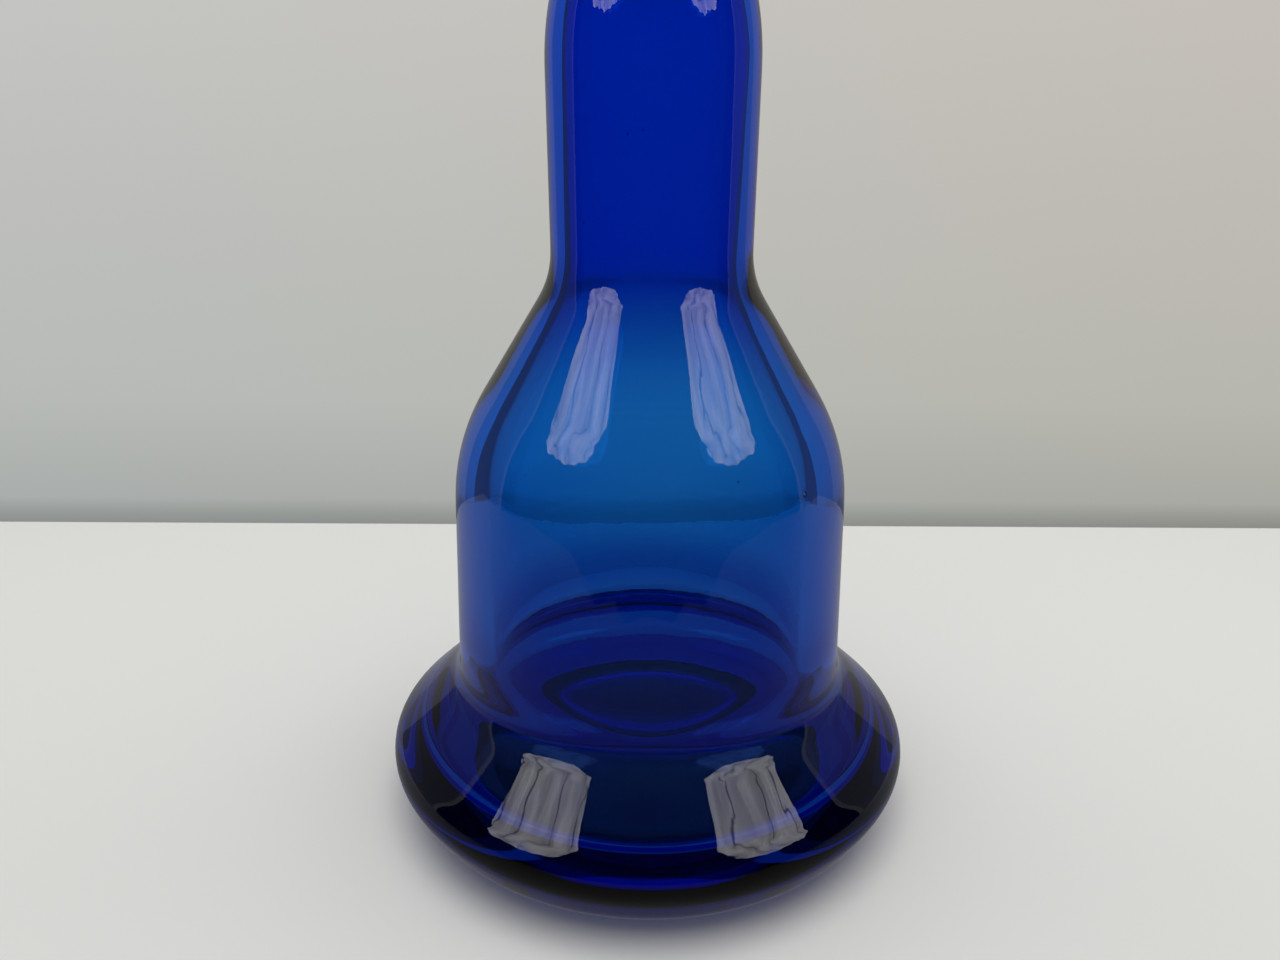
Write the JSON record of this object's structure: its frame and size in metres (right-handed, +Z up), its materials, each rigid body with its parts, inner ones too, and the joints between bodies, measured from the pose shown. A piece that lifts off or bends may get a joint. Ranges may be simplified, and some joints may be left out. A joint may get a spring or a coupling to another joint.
{
  "type": "bell-shaped glass bottle with stopper",
  "caption": "Bell-shaped bottle of blue blown glass with a flared hollow foot, a sloping shoulder, a long neck and a lift-out glass ball stopper on a cork sleeve.",
  "frame": {"origin": "on the bottle's axis, in the plane the foot stands on", "axes": "+Z up along the bottle's axis, from the foot to the stopper; +X and +Y lie in the standing plane and any pair does, as the bottle is round"},
  "size_m": [0.15, 0.15, 0.3021],
  "materials": {
    "blue_glass": "clear cobalt-blue blown glass, fire-polished",
    "cork": "natural cork, fine open grain"
  },
  "bodies": {
    "bottle": {"bottle_shell": "blue_glass", "lip_ring": "blue_glass"},
    "cork": {"stopper_cork": "cork"},
    "stopper": {"stopper_peg": "blue_glass", "stopper_ball": "blue_glass"}
  },
  "joints": [
    {"name": "stopper_lift", "type": "slide", "parent": "bottle", "child": "cork", "axis": [0, 0, 1], "range_m": [0, 0.06]},
    {"name": "stopper_turn", "type": "hinge", "parent": "cork", "child": "stopper", "pos_m": [0, 0, 0.246], "axis": [0, 0, 1], "continuous": true}
  ]
}
